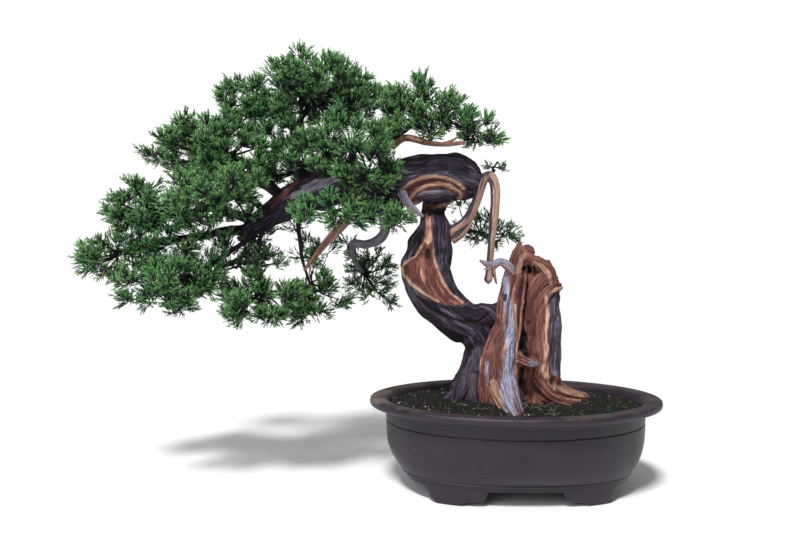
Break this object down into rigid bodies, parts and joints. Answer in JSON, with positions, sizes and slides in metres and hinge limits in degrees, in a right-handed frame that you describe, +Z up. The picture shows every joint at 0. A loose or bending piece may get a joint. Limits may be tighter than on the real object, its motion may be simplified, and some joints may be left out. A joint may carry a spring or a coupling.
{
  "type": "bonsai tree in a pot",
  "caption": "Slanting juniper bonsai with a live trunk beside a bare deadwood stump, in an oval unglazed pot on low bracket feet",
  "frame": {"origin": "on the surface it stands on, at the middle of the whole object's length and depth", "axes": "+X along the object's length, from the tip of the crown towards the pot; +Y towards the back; +Z up"},
  "size_m": [1.0148, 0.4186, 0.7443],
  "materials": {
    "clay": "unglazed dark brown-grey stoneware, matt, a little shiny on the rim",
    "soil": "dark damp grit",
    "moss": "thin dark moss with grit showing through",
    "screen_plastic": "black moulded mesh",
    "bark": "grey-brown fibrous bark",
    "dead_wood": "bare red-brown heartwood, weathered silver along its edges",
    "needles": "scale-leaved juniper foliage, mid green"
  },
  "bodies": {
    "root": {"branch_apex": "bark", "branch_back_right": "bark", "branch_far_left": "bark", "branch_front_centre": "bark", "branch_front_right": "bark", "branch_hoop": "bark", "branch_left": "bark", "branch_low_back": "bark", "branch_low_left": "bark", "branch_low_middle": "bark", "branch_low_right": "bark", "branch_mid_back": "bark", "branch_mid_front": "bark", "branch_mid_left": "bark", "branch_right_top": "bark", "branch_top_left": "bark", "branch_tuft": "bark", "branch_upper_back": "bark", "branch_upper_left": "bark", "deadwood_stump": "dead_wood", "drainage_screen_left": "screen_plastic", "drainage_screen_right": "screen_plastic", "foliage_apex_back": "needles", "foliage_apex_front": "needles", "foliage_back_low": "needles", "foliage_back_right": "needles", "foliage_far_left": "needles", "foliage_front_centre": "needles", "foliage_front_right": "needles", "foliage_inner_left": "needles", "foliage_inner_right": "needles", "foliage_left": "needles", "foliage_low_back": "needles", "foliage_low_left": "needles", "foliage_low_middle": "needles", "foliage_low_right": "needles", "foliage_mid_back": "needles", "foliage_mid_front": "needles", "foliage_mid_left": "needles", "foliage_right_tip": "needles", "foliage_right_top": "needles", "foliage_top_left": "needles", "foliage_tuft": "needles", "foliage_upper_back": "needles", "foliage_upper_left": "needles", "hooked_jin": "dead_wood", "live_trunk": "bark", "moss_carpet": "moss", "pot": "clay", "short_jin": "dead_wood", "soil_bed": "soil", "spear_jin": "dead_wood", "twin_jin": "dead_wood", "upper_jin": "dead_wood"}
  },
  "joints": []
}
